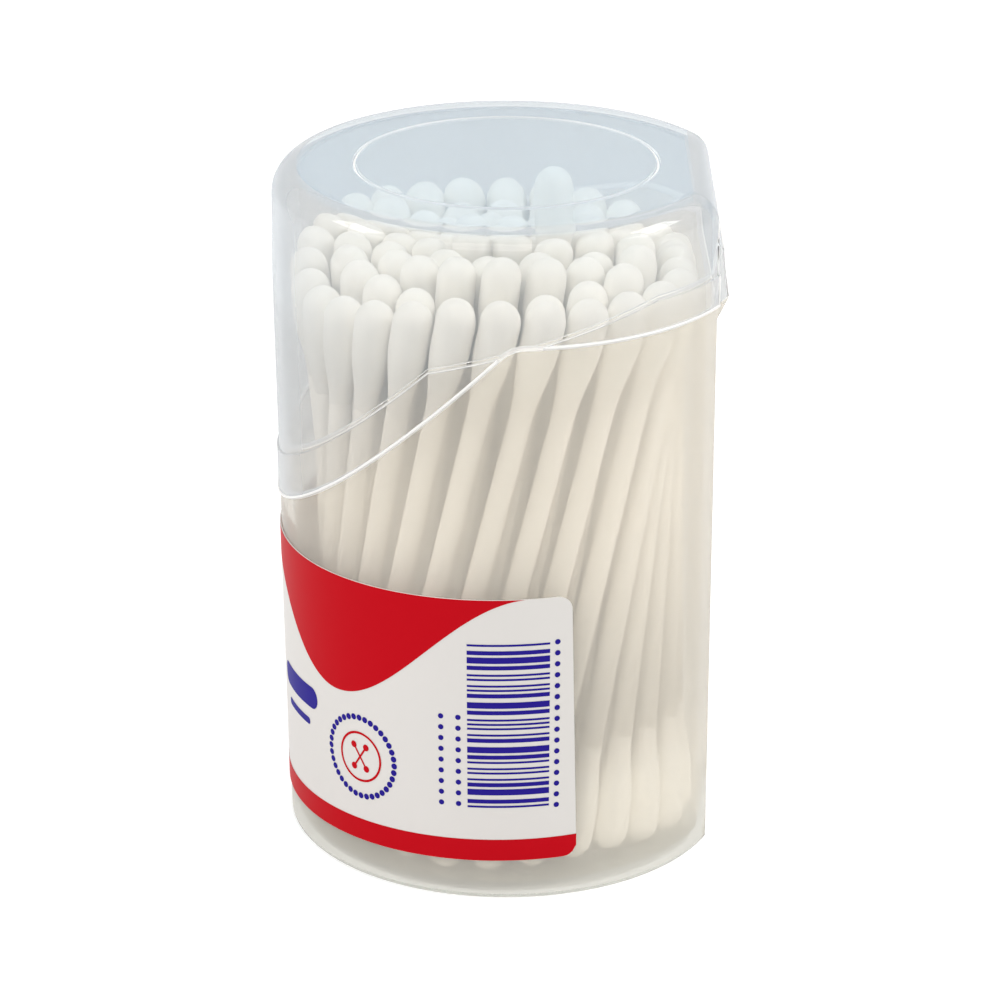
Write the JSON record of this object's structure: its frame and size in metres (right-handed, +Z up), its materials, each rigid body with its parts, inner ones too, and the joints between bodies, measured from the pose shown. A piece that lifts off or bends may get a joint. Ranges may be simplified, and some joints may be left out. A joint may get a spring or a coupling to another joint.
{
  "type": "cotton swab tub",
  "caption": "Translucent drum tub with a flat back and a hinged, slant-cut flip lid, wrapped by a label and packed with upright cotton swabs.",
  "frame": {"origin": "middle of the overall footprint, on the surface that the tub stands on", "axes": "+Z up, +X towards the flat back with the hinge, -X towards the long front of the lid"},
  "size_m": [0.0531, 0.0554, 0.0828],
  "materials": {
    "clear_plastic": "satin",
    "label_paper": "satin",
    "stick_paper": "matte",
    "cotton": "matte"
  },
  "bodies": {
    "tub": {"tub": "clear_plastic", "label": "label_paper", "sticks": "stick_paper", "buds": "cotton"},
    "lid": {"lid": "clear_plastic"}
  },
  "joints": [
    {"name": "lid_hinge", "type": "hinge", "parent": "tub", "child": "lid", "pos_m": [0.02675, 0, 0.0694], "axis": [0, 1, 0], "range_deg": [0, 180]}
  ]
}
